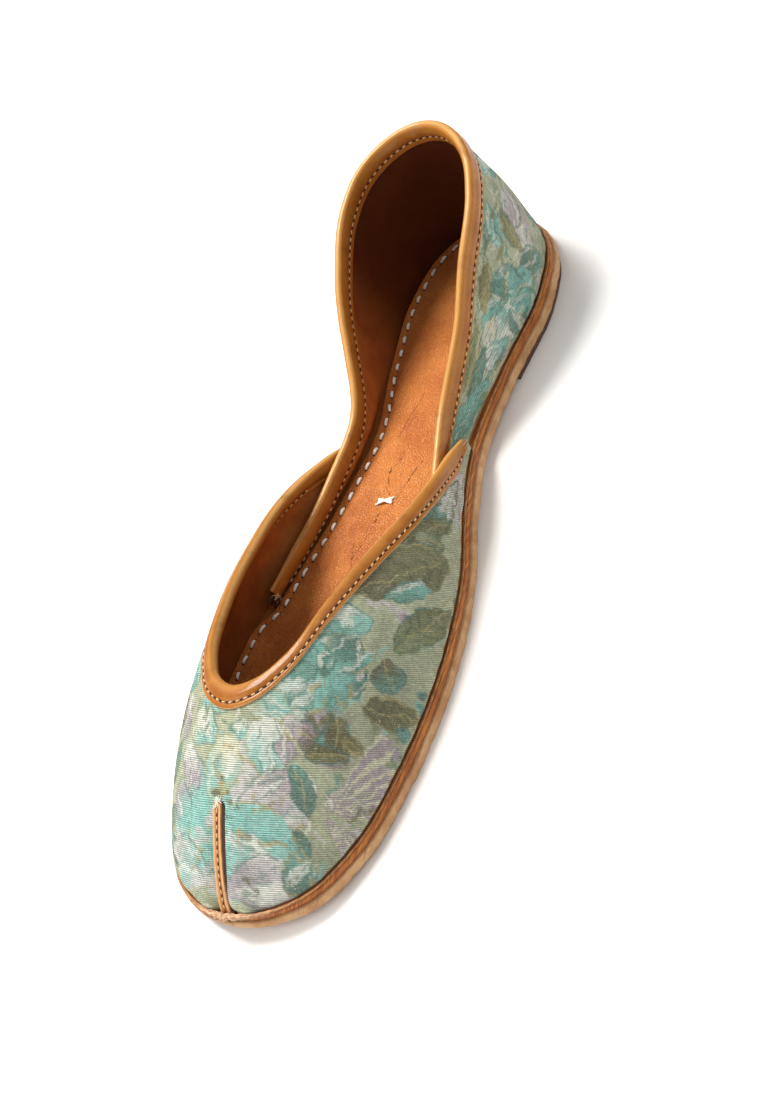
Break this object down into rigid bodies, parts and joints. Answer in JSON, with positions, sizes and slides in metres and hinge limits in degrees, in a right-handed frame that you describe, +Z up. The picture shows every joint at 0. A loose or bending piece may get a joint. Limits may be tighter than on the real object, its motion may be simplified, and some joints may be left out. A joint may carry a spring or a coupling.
{
  "type": "jutti",
  "caption": "Flat slip-on shoe with a blunt toe, deep pointed throat, raised heel cup and lapped open sides, in ribbed printed cloth bound with leather, on a thin leather sole.",
  "frame": {"origin": "on the floor under the middle of the outsole's length and width", "axes": "+X across the shoe, -Y towards the toe and +Y towards the heel, +Z up"},
  "size_m": [0.0802, 0.25, 0.0601],
  "materials": {
    "outsole_leather": "rough cut edge, tan",
    "welt_leather": "stained brown, matt",
    "lift_leather": "dark brown, matt",
    "insole_leather": "grained orange-tan, satin",
    "upper_cloth": "ribbed cotton with a floral print, lined with brown leather",
    "binding_leather": "golden tan, semi-gloss"
  },
  "bodies": {
    "root": {"outsole": "outsole_leather", "welt": "welt_leather", "heel_lift": "lift_leather", "insole": "insole_leather", "upper": "upper_cloth", "throat_binding": "binding_leather", "collar_binding": "binding_leather", "toe_strip": "binding_leather"}
  },
  "joints": []
}
